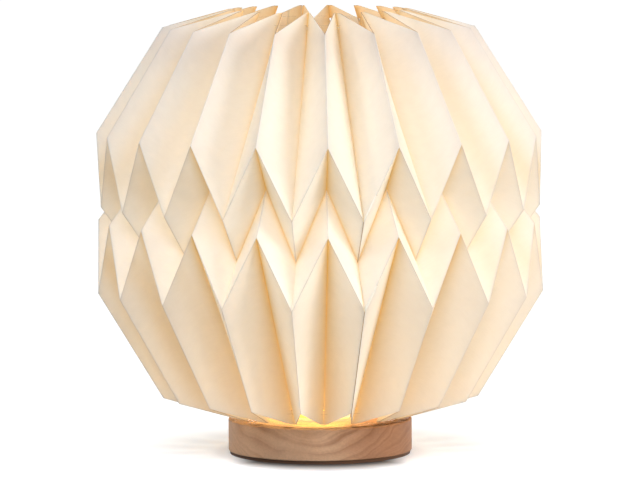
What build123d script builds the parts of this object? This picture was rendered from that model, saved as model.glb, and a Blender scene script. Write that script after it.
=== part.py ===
from build123d import *
from math import cos, radians, sin, sqrt
import os

import numpy as np

# Pleated paper table lamp: a turned wooden disc that holds a rechargeable light, and a pleated
# paper shade that stands on its rim and lifts off.
# Millimetres. +Z is up, the origin is on the lamp's axis at the table, the front is -Y,
# and the charging inlet and the push button are at the rear, +Y.

# ---------------------------------------------------------------- driving dimensions
# Turned base
base_d = 115.0
base_h = 20.0
base_edge_fillet = 0.8
foot_t = 1.8
foot_inset = 1.0

# Underside: cover, its rebate and its screws
cover_t = 2.0
cover_rim = 7.0
cover_clearance = 0.2
cover_screw_count = 3
cover_screw_inset = 4.0
cover_screw_shank_r = 1.4
cover_screw_head_r = 2.8
cover_screw_l = 12.0
screw_clearance = 0.05
screw_tip_share = 0.6
cut_past = 1.0

# Battery, hung on a foam tape under the pocket's ceiling
battery_l = 46.0
battery_w = 29.0
battery_t = 8.0
battery_corner = 1.5
battery_edge = 1.3
battery_margin = 1.0
foam_t = 1.0
foam_inset = 2.0
axis_rib = 5.0

# Light module, let into the top of the base
led_recess_r = 18.0
led_recess_depth = 5.0
web_t = 2.5
holder_clearance = 0.2
holder_wall = 1.8
holder_floor_t = 1.5
holder_flange_r = 21.0
holder_flange_t = 1.2
spreader_t = 2.0
led_board_r = 14.0
led_board_t = 1.6
led_count = 8
led_circle_r = 10.2
led_size = (2.8, 3.5, 0.8)
wire_bore_r = 3.5
module_screw_x = 10.0
module_screw_shank_r = 1.25
module_screw_head_r = 2.5
module_screw_head_t = 1.8
module_screw_l = 5.8
board_top_screw_y = 6.0
small_shank_r = 0.9
small_head_r = 1.7
small_head_t = 1.1
small_screw_l = 3.2
diffuser_wall = 1.4
diffuser_h = 13.0
diffuser_edge = 4.5
diffuser_clearance = 0.3

# Rear port: window through the wood, port plate, charging inlet, push button
port_w = 34.0
port_h = 10.0
plate_recess = 0.2
plate_fit = 0.1
plate_edge_t = 2.0
usb_w = 8.94
usb_h = 3.26
usb_l = 7.4
usb_wall = 0.3
usb_tongue_w = 6.7
usb_tongue_t = 0.7
usb_tongue_setback = 0.8
usb_block_l = 1.5
usb_opening_gap = 0.35
usb_setback = 0.3
button_x = -9.5
button_r = 3.0
button_gap = 0.25
button_flange_r = 4.0
button_flange_t = 0.8
button_proud = 0.8
button_travel = 0.5
button_stop_gap = 0.1
button_edge_fillet = 0.5
peg_r = 1.0
stem_r = 0.8
stem_gap = 0.15
stem_hold = 1.2
switch_size = (5.6, 3.6, 3.2)
switch_setback = 0.2
stem_reach_past_travel = 0.2
light_pipe_x = 9.5
light_pipe_r = 1.0
light_pipe_behind = 1.4

# Control board
board_w = 30.0
board_t = 1.6
board_front_y = 12.0
board_setback = 2.0
board_margin = 1.0
rear_wall_in = 7.0
board_screw_x = 11.0
board_screw_y = 24.0
standoff_r = 3.2
wire_r = 0.65
wire_pitch = 3.0
wire_bend_r = 2.0
battery_plug_x = -9.0
plug_size = (7.0, 5.0, 3.2)
plug_edge_gap = 0.5
chip_size = (4.0, 5.0, 1.2)
chip_x = 5.0
chip_y = 34.0
coil_size = (5.0, 5.0, 3.0)
coil_corner_r = 1.0
coil_y = 25.0
charge_led_size = (1.6, 1.2, 2.0)
pad_reach = 4.8

# Shade collar: clear ring that centres the shade's mouth on the base
collar_edge_inset = 0.6
collar_t = 1.5
collar_h = 5.0
collar_wall = 1.5
collar_foot_in = 5.0
collar_clearance = 0.5
shade_seat_gap = 0.35

# Shade: every pleat has a ridge fold and a valley tip fold, each with five corners from the top
# rim to the bottom rim. Radii are to the outer side, heights are above the lowest corner.
pleats = 20
front_turn = 2.13
paper_t = 0.4
mouth_margin = 1.5
ridge_rim_r, ridge_rim_h = 97.5, 243.3
ridge_shoulder_r, ridge_shoulder_h = 139.0, 177.6
ridge_waist_r, ridge_waist_h = 117.0, 151.2
ridge_belly_r, ridge_belly_h = 138.0, 123.6
tip_rim_r, tip_rim_h = 52.4, 255.4
tip_belly_r, tip_belly_h = 138.0, 133.2
tip_waist_r, tip_waist_h = 119.0, 107.0
tip_shoulder_r, tip_shoulder_h = 140.0, 79.6
tip_hem_r, tip_hem_h = 99.5, 13.0
glue_tab_w = 12.0
panel_w = 34.0
seam_step = 2.0

# Gather threads through punched holes in the inner tips
thread_r = 0.2
top_hole_r = 1.25
hem_hole_r = 0.5
punch_l = 9.0
top_punch_in = 9.5
top_punch_drop = 8.5
hem_punch_in = 10.0
hem_punch_rise = 8.5
knot_r = 0.9
knot_l = 2.4

# ---------------------------------------------------------------- levels and radii that follow
base_r = base_d / 2
wood_bottom_z = foot_t
wood_top_z = foot_t + base_h
cover_seat_r = base_r - cover_rim
cover_r = cover_seat_r - cover_clearance
cover_top_z = wood_bottom_z + cover_t
cover_screw_circle = cover_seat_r - cover_screw_inset
head_drop = cover_screw_head_r - cover_screw_shank_r
ceiling_z = wood_top_z - led_recess_depth - web_t
recess_floor_z = wood_top_z - led_recess_depth
battery_mid_y = -axis_rib - battery_w / 2
battery_top_z = ceiling_z - foam_t
port_z = wood_bottom_z + base_h / 2
board_top_z = port_z - usb_h / 2
board_z = board_top_z - board_t
plate_r = base_r - plate_recess
plate_inner_y = sqrt(plate_r**2 - (port_w / 2) ** 2) - plate_edge_t
board_rear_y = plate_inner_y - board_setback
usb_mouth_y = plate_inner_y - usb_setback
board_pocket_rear_y = board_rear_y - rear_wall_in
holder_r = led_recess_r - holder_clearance
holder_inner_r = holder_r - holder_wall
spreader_z = recess_floor_z + holder_floor_t
led_board_z = spreader_z + spreader_t
led_board_top_z = led_board_z + led_board_t
diffuser_r = holder_inner_r - diffuser_clearance
shade_z = wood_top_z + collar_t + shade_seat_gap
mouth_r = base_r - mouth_margin

os.makedirs("parts", exist_ok=True)


def keep(part, name):
    """Label a finished piece and write it under its own name."""
    part.label = name
    export_step(part, f"parts/{name}.step")


# ---------------------------------------------------------------- turned base
with BuildPart() as wood_base:
    with BuildSketch(Plane.XY.offset(wood_bottom_z)):
        Circle(base_r)
    extrude(amount=base_h)
    fillet(wood_base.edges().filter_by(GeomType.CIRCLE), base_edge_fillet)
    # rebate for the cover
    with BuildSketch(Plane.XY.offset(wood_bottom_z)):
        Circle(cover_seat_r)
    extrude(amount=cover_t, mode=Mode.SUBTRACT)
    # battery pocket and board pocket, one behind the other
    with BuildSketch(Plane.XY.offset(cover_top_z)):
        with Locations((0, battery_mid_y)):
            Rectangle(battery_l + 2 * battery_margin, battery_w + 2 * battery_margin)
        with Locations((0, (board_pocket_rear_y - axis_rib) / 2)):
            Rectangle(board_w + 2 * board_margin, board_pocket_rear_y + axis_rib)
    extrude(amount=ceiling_z - cover_top_z, mode=Mode.SUBTRACT)
    # standoffs left standing for the control board
    with BuildSketch(Plane.XY.offset(board_top_z)):
        with Locations((-board_screw_x, board_screw_y), (board_screw_x, board_screw_y)):
            Circle(standoff_r)
    extrude(amount=ceiling_z - board_top_z)
    with BuildSketch(Plane.XY.offset(board_top_z)):
        with Locations((-board_screw_x, board_screw_y), (board_screw_x, board_screw_y)):
            Circle(small_shank_r + screw_clearance)
    extrude(amount=small_screw_l - board_t + screw_clearance, mode=Mode.SUBTRACT)
    # window through the rear wall
    with BuildSketch(Plane.XZ.offset(-base_r - cut_past)):
        with Locations((0, port_z)):
            SlotOverall(port_w, port_h)
    extrude(amount=base_r - board_pocket_rear_y + 2 * cut_past, mode=Mode.SUBTRACT)
    # recess for the light module, its wire bore and its screw holes
    with BuildSketch(Plane.XY.offset(recess_floor_z)):
        Circle(led_recess_r)
    extrude(amount=led_recess_depth, mode=Mode.SUBTRACT)
    with BuildSketch(Plane.XY.offset(ceiling_z)):
        Circle(wire_bore_r)
        with Locations((-module_screw_x, 0), (module_screw_x, 0)):
            Circle(module_screw_shank_r + screw_clearance)
    extrude(amount=web_t, mode=Mode.SUBTRACT)
    # pilot holes for the cover screws
    with BuildSketch(Plane.XY.offset(cover_top_z)):
        with PolarLocations(cover_screw_circle, cover_screw_count, start_angle=-90):
            Circle(cover_screw_shank_r + screw_clearance)
    extrude(amount=cover_screw_l - cover_t + screw_clearance, mode=Mode.SUBTRACT)
keep(wood_base.part, "wood_base")

with BuildPart() as foot_pad:
    with BuildSketch():
        Circle(base_r - foot_inset)
    extrude(amount=foot_t)
keep(foot_pad.part, "foot_pad")

with BuildPart() as bottom_cover:
    with BuildSketch(Plane.XY.offset(wood_bottom_z)):
        Circle(cover_r)
    extrude(amount=cover_t)
    with BuildSketch(Plane.XY.offset(wood_bottom_z)):
        with PolarLocations(cover_screw_circle, cover_screw_count, start_angle=-90):
            Circle(cover_screw_shank_r + screw_clearance)
    extrude(amount=cover_t, mode=Mode.SUBTRACT)
    with Locations((0, 0, wood_bottom_z + head_drop / 2)):
        with PolarLocations(cover_screw_circle, cover_screw_count, start_angle=-90):
            Cone(
                cover_screw_head_r + screw_clearance,
                cover_screw_shank_r + screw_clearance,
                head_drop,
                mode=Mode.SUBTRACT,
            )
keep(bottom_cover.part, "bottom_cover")

with BuildPart() as cover_screws:
    with BuildSketch(Plane.XY.offset(wood_bottom_z)):
        with PolarLocations(cover_screw_circle, cover_screw_count, start_angle=-90):
            Circle(cover_screw_shank_r)
    extrude(amount=cover_screw_l)
    chamfer(
        cover_screws.faces().group_by(Axis.Z)[-1].edges(),
        cover_screw_shank_r * screw_tip_share,
    )
    with Locations((0, 0, wood_bottom_z + head_drop / 2)):
        with PolarLocations(cover_screw_circle, cover_screw_count, start_angle=-90):
            Cone(cover_screw_head_r, cover_screw_shank_r, head_drop)
keep(cover_screws.part, "cover_screws")

# ---------------------------------------------------------------- battery
with BuildPart() as battery_foam_tape:
    with BuildSketch(Plane.XY.offset(battery_top_z)):
        with Locations((0, battery_mid_y)):
            Rectangle(battery_l - 2 * foam_inset, battery_w - 2 * foam_inset)
    extrude(amount=foam_t)
keep(battery_foam_tape.part, "battery_foam_tape")

with BuildPart() as battery_pouch:
    with BuildSketch(Plane.XY.offset(battery_top_z)):
        with Locations((0, battery_mid_y)):
            RectangleRounded(battery_l, battery_w, battery_corner)
    extrude(amount=-battery_t)
    fillet(battery_pouch.faces().filter_by(Axis.Z).edges(), battery_edge)
keep(battery_pouch.part, "battery_pouch")

# ---------------------------------------------------------------- control board and its parts
with BuildPart() as control_board:
    with BuildSketch(Plane.XY.offset(board_z)):
        with Locations((0, (board_front_y + board_rear_y) / 2)):
            Rectangle(board_w, board_rear_y - board_front_y)
        with Locations((-board_screw_x, board_screw_y), (board_screw_x, board_screw_y)):
            Circle(small_shank_r + screw_clearance, mode=Mode.SUBTRACT)
    extrude(amount=board_t)
keep(control_board.part, "control_board")

plug_y = board_front_y + plug_size[1] / 2 + plug_edge_gap
with BuildPart() as board_parts:
    with BuildSketch(Plane.XY.offset(board_top_z)):
        # lead sockets
        with Locations((battery_plug_x, plug_y), (0, plug_y)):
            Rectangle(plug_size[0], plug_size[1])
    extrude(amount=plug_size[2])
    with BuildSketch(Plane.XY.offset(board_top_z)):
        # charger chip and driver chip
        with Locations((-chip_x, chip_y), (chip_x, chip_y)):
            Rectangle(chip_size[0], chip_size[1])
    extrude(amount=chip_size[2])
    with BuildSketch(Plane.XY.offset(board_top_z)):
        with Locations((0, coil_y)):
            RectangleRounded(coil_size[0], coil_size[1], coil_corner_r)
    extrude(amount=coil_size[2])
    with BuildSketch(Plane.XY.offset(board_top_z)):
        # charge light chip, in line with the light pipe
        with Locations((light_pipe_x, board_rear_y - charge_led_size[1])):
            Rectangle(charge_led_size[0], charge_led_size[1])
    extrude(amount=charge_led_size[2])
keep(board_parts.part, "board_parts")

with BuildPart() as board_screws:
    with BuildSketch(Plane.XY.offset(board_z - small_head_t)):
        with Locations((-board_screw_x, board_screw_y), (board_screw_x, board_screw_y)):
            Circle(small_head_r)
    extrude(amount=small_head_t)
    with BuildSketch(Plane.XY.offset(board_z)):
        with Locations((-board_screw_x, board_screw_y), (board_screw_x, board_screw_y)):
            Circle(small_shank_r)
    extrude(amount=small_screw_l)
keep(board_screws.part, "board_screws")

# ---------------------------------------------------------------- charging inlet
usb_plane = Plane.XZ.offset(-usb_mouth_y)
with BuildPart() as usb_shell:
    with BuildSketch(usb_plane):
        with Locations((0, port_z)):
            SlotOverall(usb_w, usb_h)
            SlotOverall(usb_w - 2 * usb_wall, usb_h - 2 * usb_wall, mode=Mode.SUBTRACT)
    extrude(amount=usb_l)
keep(usb_shell.part, "usb_shell")

with BuildPart() as usb_tongue:
    with BuildSketch(Plane.XZ.offset(-usb_mouth_y + usb_l - usb_block_l)):
        with Locations((0, port_z)):
            SlotOverall(usb_w - 2 * usb_wall, usb_h - 2 * usb_wall)
    extrude(amount=usb_block_l)
    with BuildSketch(Plane.XZ.offset(-usb_mouth_y + usb_tongue_setback)):
        with Locations((0, port_z)):
            Rectangle(usb_tongue_w, usb_tongue_t)
    extrude(amount=usb_l - usb_block_l)
keep(usb_tongue.part, "usb_tongue")

# ---------------------------------------------------------------- port plate, button and light pipe
with BuildPart() as port_plate:
    with BuildSketch(Plane.XZ.offset(-base_r)):
        with Locations((0, port_z)):
            SlotOverall(port_w - 2 * plate_fit, port_h - 2 * plate_fit)
            SlotOverall(usb_w + 2 * usb_opening_gap, usb_h + 2 * usb_opening_gap, mode=Mode.SUBTRACT)
        with Locations((button_x, port_z)):
            Circle(button_r + button_gap, mode=Mode.SUBTRACT)
        with Locations((light_pipe_x, port_z)):
            Circle(light_pipe_r, mode=Mode.SUBTRACT)
    extrude(amount=base_r - plate_inner_y)
    with BuildSketch():
        Circle(plate_r)
    extrude(amount=wood_top_z, mode=Mode.INTERSECT)
keep(port_plate.part, "port_plate")

flange_back_y = plate_inner_y - button_stop_gap - button_flange_t
switch_front_y = board_rear_y - switch_setback
stem_tip_y = board_rear_y + button_travel + stem_reach_past_travel
with BuildPart() as button_cap:
    with BuildSketch(Plane.XZ.offset(-(plate_inner_y - button_stop_gap))):
        with Locations((button_x, port_z)):
            Circle(button_flange_r)
    extrude(amount=button_flange_t)
    cap_face_y = sqrt(plate_r**2 - button_x**2) + button_proud
    with BuildSketch(Plane.XZ.offset(-cap_face_y)):
        with Locations((button_x, port_z)):
            Circle(button_r)
    extrude(amount=cap_face_y - plate_inner_y + button_stop_gap)
    fillet(button_cap.faces().sort_by(Axis.Y)[-1].edges(), button_edge_fillet)
    with BuildSketch(Plane.XZ.offset(-flange_back_y)):
        with Locations((button_x, port_z)):
            Circle(peg_r)
    extrude(amount=flange_back_y - stem_tip_y)
keep(button_cap.part, "button_cap")

with BuildPart() as switch_body:
    with BuildSketch(Plane.XY.offset(board_top_z)):
        with Locations((button_x, switch_front_y - switch_size[1] / 2)):
            Rectangle(switch_size[0], switch_size[1])
    extrude(amount=switch_size[2])
    with BuildSketch(Plane.XZ.offset(-switch_front_y)):
        with Locations((button_x, port_z)):
            Circle(stem_r + stem_gap)
    extrude(amount=stem_hold + button_travel + stem_gap, mode=Mode.SUBTRACT)
keep(switch_body.part, "switch_body")

with BuildPart() as switch_stem:
    with BuildSketch(Plane.XZ.offset(-stem_tip_y)):
        with Locations((button_x, port_z)):
            Circle(stem_r)
    extrude(amount=stem_tip_y - switch_front_y + stem_hold)
keep(switch_stem.part, "switch_stem")

with BuildPart() as light_pipe:
    pipe_face_y = sqrt(plate_r**2 - light_pipe_x**2)
    with BuildSketch(Plane.XZ.offset(-pipe_face_y)):
        with Locations((light_pipe_x, port_z)):
            Circle(light_pipe_r - screw_clearance)
    extrude(amount=pipe_face_y - plate_inner_y + light_pipe_behind)
keep(light_pipe.part, "light_pipe")

# ---------------------------------------------------------------- light module
with BuildPart() as led_holder:
    with BuildSketch(Plane.XY.offset(recess_floor_z)):
        Circle(holder_r)
    extrude(amount=led_recess_depth)
    with BuildSketch(Plane.XY.offset(wood_top_z)):
        Circle(holder_flange_r)
    extrude(amount=holder_flange_t)
    fillet(led_holder.faces().sort_by(Axis.Z)[-1].edges(), holder_flange_t / 2)
    with BuildSketch(Plane.XY.offset(spreader_z)):
        Circle(holder_inner_r)
    extrude(amount=wood_top_z + holder_flange_t - spreader_z, mode=Mode.SUBTRACT)
    with BuildSketch(Plane.XY.offset(recess_floor_z)):
        Circle(wire_bore_r)
        with Locations((-module_screw_x, 0), (module_screw_x, 0)):
            Circle(module_screw_shank_r + screw_clearance)
    extrude(amount=holder_floor_t, mode=Mode.SUBTRACT)
keep(led_holder.part, "led_holder")

with BuildPart() as heat_spreader:
    with BuildSketch(Plane.XY.offset(spreader_z)):
        Circle(diffuser_r)
        Circle(wire_bore_r, mode=Mode.SUBTRACT)
        with Locations((-module_screw_x, 0), (module_screw_x, 0)):
            Circle(module_screw_shank_r + screw_clearance, mode=Mode.SUBTRACT)
        with Locations((0, -board_top_screw_y), (0, board_top_screw_y)):
            Circle(small_shank_r + screw_clearance, mode=Mode.SUBTRACT)
    extrude(amount=spreader_t)
keep(heat_spreader.part, "heat_spreader")

with BuildPart() as holder_screws:
    with BuildSketch(Plane.XY.offset(ceiling_z - module_screw_head_t)):
        with Locations((-module_screw_x, 0), (module_screw_x, 0)):
            Circle(module_screw_head_r)
    extrude(amount=module_screw_head_t)
    with BuildSketch(Plane.XY.offset(ceiling_z)):
        with Locations((-module_screw_x, 0), (module_screw_x, 0)):
            Circle(module_screw_shank_r)
    extrude(amount=module_screw_l)
keep(holder_screws.part, "holder_screws")

with BuildPart() as led_board:
    with BuildSketch(Plane.XY.offset(led_board_z)):
        Circle(led_board_r)
        Circle(wire_bore_r, mode=Mode.SUBTRACT)
        with Locations((0, -board_top_screw_y), (0, board_top_screw_y)):
            Circle(small_shank_r + screw_clearance, mode=Mode.SUBTRACT)
    extrude(amount=led_board_t)
keep(led_board.part, "led_board")

with BuildPart() as led_chips:
    with BuildSketch(Plane.XY.offset(led_board_top_z)):
        with PolarLocations(led_circle_r, led_count, start_angle=180 / led_count):
            Rectangle(led_size[0], led_size[1])
    extrude(amount=led_size[2])
keep(led_chips.part, "led_chips")

with BuildPart() as led_screws:
    with BuildSketch(Plane.XY.offset(led_board_top_z)):
        with Locations((0, -board_top_screw_y), (0, board_top_screw_y)):
            Circle(small_head_r)
    extrude(amount=small_head_t)
    with BuildSketch(Plane.XY.offset(led_board_top_z - small_screw_l)):
        with Locations((0, -board_top_screw_y), (0, board_top_screw_y)):
            Circle(small_shank_r)
    extrude(amount=small_screw_l)
keep(led_screws.part, "led_screws")

with BuildPart() as led_diffuser:
    with BuildSketch(Plane.XY.offset(led_board_z)):
        Circle(diffuser_r)
    extrude(amount=diffuser_h)
    fillet(led_diffuser.faces().sort_by(Axis.Z)[-1].edges(), diffuser_edge)
    offset(amount=-diffuser_wall, openings=led_diffuser.faces().sort_by(Axis.Z)[0])
keep(led_diffuser.part, "led_diffuser")

# ---------------------------------------------------------------- leads inside the base
lead_z = board_top_z + plug_size[2] / 2
with BuildPart() as led_lead:
    pad_z = led_board_top_z + wire_r + screw_clearance
    for side in (-1, 1):
        lead_x = side * wire_pitch / 2
        with BuildLine() as led_lead_route:
            FilletPolyline(
                (lead_x, plug_y - plug_size[1] / 2, lead_z),
                (lead_x, 0, lead_z),
                (lead_x, 0, pad_z),
                (lead_x + side * pad_reach, 0, pad_z),
                radius=wire_bend_r,
            )
        with BuildSketch(Plane(led_lead_route.line @ 0, z_dir=led_lead_route.line % 0)):
            Circle(wire_r)
        sweep(path=led_lead_route.line)
keep(led_lead.part, "led_lead")

with BuildPart() as battery_lead:
    battery_mid_z = battery_top_z - battery_t / 2
    battery_face_y = battery_mid_y + battery_w / 2
    span = plug_y - plug_size[1] / 2 - battery_face_y
    for side in (-1, 1):
        lead_x = battery_plug_x + side * wire_pitch / 2
        with BuildLine() as battery_lead_route:
            FilletPolyline(
                (lead_x, battery_face_y, battery_mid_z),
                (lead_x, battery_face_y + span / 3, battery_mid_z),
                (lead_x, battery_face_y + span * 2 / 3, lead_z),
                (lead_x, battery_face_y + span, lead_z),
                radius=wire_bend_r,
            )
        with BuildSketch(Plane(battery_lead_route.line @ 0, z_dir=battery_lead_route.line % 0)):
            Circle(wire_r)
        sweep(path=battery_lead_route.line)
keep(battery_lead.part, "battery_lead")

# ---------------------------------------------------------------- folded paper
# Fold corners from the top rim down, as radius and height.
ridge_fold = [
    (ridge_rim_r, ridge_rim_h),
    (ridge_shoulder_r, ridge_shoulder_h),
    (ridge_waist_r, ridge_waist_h),
    (ridge_belly_r, ridge_belly_h),
    (mouth_r, 0.0),
]
tip_fold = [
    (tip_rim_r, tip_rim_h),
    (tip_belly_r, tip_belly_h),
    (tip_waist_r, tip_waist_h),
    (tip_shoulder_r, tip_shoulder_h),
    (tip_hem_r, tip_hem_h),
]
# Each panel bends once between two rows of corners; the bend ends on these rows of the two folds.
ridge_bend_rows = [0, 2, 3, 3]
tip_bend_rows = [1, 1, 2, 4]
half_pleat = 180 / pleats


def corner(fold_corner, azimuth):
    """A point at a radius and height, turned from the front towards +X."""
    radius, height = fold_corner
    turn = radians(azimuth)
    return Vector(radius * sin(turn), -radius * cos(turn), shade_z + height)


def fold_line(corners, bend_rows, azimuth):
    """Rows and bend ends of one fold, from the top: row, bend, row, bend ... row."""
    points = [corner(c, azimuth) for c in corners]
    line = [points[0]]
    for row, bend_row in enumerate(bend_rows):
        line += [points[bend_row], points[row + 1]]
    return line


def inward_steps(own_fold, own_bends, other_fold, other_bends):
    """How far each corner of a fold moves, in radius and height, for paper one unit thick."""
    own = fold_line(own_fold, own_bends, 0)
    other = fold_line(other_fold, other_bends, half_pleat)
    steps = []
    for fold_corner in own_fold:
        here = corner(fold_corner, 0)
        normals = []
        for i in range(len(own) - 1):
            panel = []
            for point in (own[i], other[i], other[i + 1], own[i + 1]):
                if all((point - kept).length > 1e-6 for kept in panel):
                    panel.append(point)
            if any((point - here).length < 1e-6 for point in panel):
                normal = (panel[1] - panel[0]).cross(panel[2] - panel[0]).normalized()
                middle = panel[0] + panel[1] + panel[2]
                if normal.X * middle.X + normal.Y * middle.Y < 0:
                    normal = -normal
                normals.append((-normal.Y, normal.Z))
        steps.append(np.linalg.lstsq(np.array(normals), -np.ones(len(normals)), rcond=None)[0])
    return steps


ridge_steps = inward_steps(ridge_fold, ridge_bend_rows, tip_fold, tip_bend_rows)
tip_steps = inward_steps(tip_fold, tip_bend_rows, ridge_fold, ridge_bend_rows)


def paper_line(place, depth):
    """The fold line at a place counted in half pleats from the seam, at a depth in the paper."""

    def whole(number):
        on_tip = number % 2 == 0
        corners, steps = (tip_fold, tip_steps) if on_tip else (ridge_fold, ridge_steps)
        bends = tip_bend_rows if on_tip else ridge_bend_rows
        moved = [(r + dr * depth, h + dh * depth) for (r, h), (dr, dh) in zip(corners, steps)]
        return fold_line(moved, bends, front_turn + half_pleat * (number + 1))

    before = int(place)
    share = place - before
    if share == 0:
        return whole(before)
    return [a + (b - a) * share for a, b in zip(whole(before), whole(before + 1))]


def triangles_between(line_a, line_b):
    """Flat triangles that fill the band between two lines of points."""
    found = []
    for i in range(len(line_a) - 1):
        ring = [line_a[i], line_b[i], line_b[i + 1], line_a[i + 1]]
        for three in ((ring[0], ring[1], ring[2]), (ring[0], ring[2], ring[3])):
            sides = [(three[k] - three[k - 1]).length for k in range(3)]
            if min(sides) > 1e-6:
                found.append(Face(Wire.make_polygon(three, close=True)))
    return found


def folded_sheet(first, last):
    """A closed sheet of pleats with a glue tab that lies behind the next sheet's first panel."""
    tab_end = last + glue_tab_w / panel_w
    seam_start = last - seam_step / panel_w
    outside = [(n, 0.0) for n in range(first, last + 1)]
    tab = [(last, paper_t), (tab_end, paper_t), (tab_end, 2 * paper_t), (last, 2 * paper_t)]
    inside = [(seam_start, paper_t)] + [(n, paper_t) for n in range(last - 1, first - 1, -1)]
    stations = outside[:-1] + [(seam_start, 0.0), outside[-1]] + tab + inside
    lines = [paper_line(place, depth) for place, depth in stations]
    faces = []
    for a, b in zip(lines, lines[1:] + lines[:1]):
        faces += triangles_between(a, b)
    # rims: the outside and inside lines run side by side, and so do the tab's two faces
    count = len(outside) + 1
    front, back = lines[:count], lines[count + 4 :]
    tab_lines = lines[count : count + 4]
    seam_out, seam_mid, seam_in = front[-1], tab_lines[0], tab_lines[3]
    pairs = list(zip(front[: count - 1], reversed(back)))
    for end in (0, -1):
        for (a_out, a_in), (b_out, b_in) in zip(pairs, pairs[1:]):
            faces += triangles_between([a_out[end], b_out[end]], [a_in[end], b_in[end]])
        wedge = [pairs[-1][0][end], seam_out[end], seam_mid[end], seam_in[end], pairs[-1][1][end]]
        for i in range(1, len(wedge) - 1):
            faces.append(Face(Wire.make_polygon([wedge[0], wedge[i], wedge[i + 1]], close=True)))
        edge_out, edge_in = tab_lines[1][end], tab_lines[2][end]
        faces += triangles_between([seam_mid[end], edge_out], [seam_in[end], edge_in])
    return Solid(Shell(faces))


def ring_plane(fold_corner, azimuth):
    """A plane at a radius and height, square to the ring that runs through it."""
    turn = radians(azimuth)
    return Plane(corner(fold_corner, azimuth), x_dir=(0, 0, 1), z_dir=(cos(turn), sin(turn), 0))


top_punch_r = tip_rim_r + top_punch_in
top_punch_h = tip_rim_h - top_punch_drop
hem_punch_r = mouth_r + hem_punch_in
hem_punch_h = hem_punch_rise
fold_turns = [front_turn + number * 2 * half_pleat for number in range(pleats)]
top_holes = [ring_plane((top_punch_r, top_punch_h), turn + half_pleat) for turn in fold_turns]
hem_holes = [ring_plane((hem_punch_r, hem_punch_h), turn) for turn in fold_turns]

for name, first in (("shade_sheet_right", 0), ("shade_sheet_left", pleats)):
    paper = folded_sheet(first, first + pleats)
    with BuildPart() as shade_sheet:
        add(paper)
        with Locations(*top_holes):
            Cylinder(top_hole_r, punch_l, mode=Mode.SUBTRACT)
        with Locations(*hem_holes):
            Cylinder(hem_hole_r, punch_l, mode=Mode.SUBTRACT)
    keep(shade_sheet.part, name)

# ---------------------------------------------------------------- gather threads
for name, ring_r, ring_h in (
    ("top_gather_thread", top_punch_r, top_punch_h),
    ("hem_gather_thread", hem_punch_r, hem_punch_h),
):
    knot_azimuth = front_turn + 180 + half_pleat / 2
    with BuildPart() as gather_thread:
        with Locations((0, 0, shade_z + ring_h)):
            Torus(ring_r, thread_r)
        with Locations(ring_plane((ring_r, ring_h), knot_azimuth)):
            Cylinder(knot_r, knot_l)
    keep(gather_thread.part, name)

# ---------------------------------------------------------------- shade collar
tip_inner_r = mouth_r + ridge_steps[-1][0] * 2 * paper_t
collar_r = tip_inner_r - collar_clearance
with BuildPart() as shade_collar:
    with BuildSketch(Plane.XZ):
        with BuildLine():
            Polyline(
                (collar_r - collar_wall - collar_foot_in, wood_top_z),
                (base_r - base_edge_fillet - collar_edge_inset, wood_top_z),
                (base_r - base_edge_fillet - collar_edge_inset, wood_top_z + collar_t),
                (collar_r, wood_top_z + collar_t),
                (collar_r, wood_top_z + collar_t + collar_h),
                (collar_r - collar_wall, wood_top_z + collar_t + collar_h),
                (collar_r - collar_wall, wood_top_z + collar_t),
                (collar_r - collar_wall - collar_foot_in, wood_top_z + collar_t),
                close=True,
            )
        make_face()
    revolve(axis=Axis.Z)
keep(shade_collar.part, "shade_collar")
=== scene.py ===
from math import cos, pi, radians, sin

import bmesh
import bpy
import numpy as np
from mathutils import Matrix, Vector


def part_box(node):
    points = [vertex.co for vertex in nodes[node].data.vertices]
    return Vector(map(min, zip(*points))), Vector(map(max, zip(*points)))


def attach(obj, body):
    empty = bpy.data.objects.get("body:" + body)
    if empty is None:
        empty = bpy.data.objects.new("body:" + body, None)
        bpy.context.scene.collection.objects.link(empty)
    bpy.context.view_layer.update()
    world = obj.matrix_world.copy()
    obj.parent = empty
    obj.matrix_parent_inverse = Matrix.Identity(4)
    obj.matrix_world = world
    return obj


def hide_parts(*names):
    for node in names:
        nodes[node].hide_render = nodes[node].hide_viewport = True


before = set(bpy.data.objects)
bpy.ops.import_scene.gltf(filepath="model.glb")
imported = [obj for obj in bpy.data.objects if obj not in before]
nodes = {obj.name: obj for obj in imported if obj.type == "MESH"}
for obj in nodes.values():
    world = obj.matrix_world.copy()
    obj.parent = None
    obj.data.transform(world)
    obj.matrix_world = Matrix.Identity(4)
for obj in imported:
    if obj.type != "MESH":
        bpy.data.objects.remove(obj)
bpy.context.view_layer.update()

# The camera.
# It looks at the lamp's middle from a little above it, through a long lens three metres off, so that the
# pleats hardly shrink towards the back.
view_rise = radians(5.33)
view_away = 3.063
view_roll = radians(-0.18)
looked_at = np.array([0.00029, 0.0, 0.1335])
camera = bpy.data.objects.new("studio_camera", bpy.data.cameras.new("studio_camera"))
camera.data.lens = 275.7
camera.data.sensor_width = 36
camera.location = looked_at + view_away * np.array([0, -cos(view_rise), sin(view_rise)])
camera.rotation_mode = "ZYX"
camera.rotation_euler = (pi / 2 - view_rise, 0, view_roll)
bpy.context.scene.collection.objects.link(camera)
bpy.context.scene.camera = camera
bpy.context.scene.view_settings.view_transform = "Standard"


# The air round the lamp.
# A faint, slightly warm light comes from all sides. To every ray that carries the backdrop to the lens, the
# air is a white wall instead.
def feed(tree, node, values):
    """Sets a node's inputs by name or number. Another node's output is linked, and a plain value written."""
    for key, value in values.items():
        if isinstance(value, bpy.types.NodeSocket):
            tree.links.new(value, node.inputs[key])
        else:
            node.inputs[key].default_value = value


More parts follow.
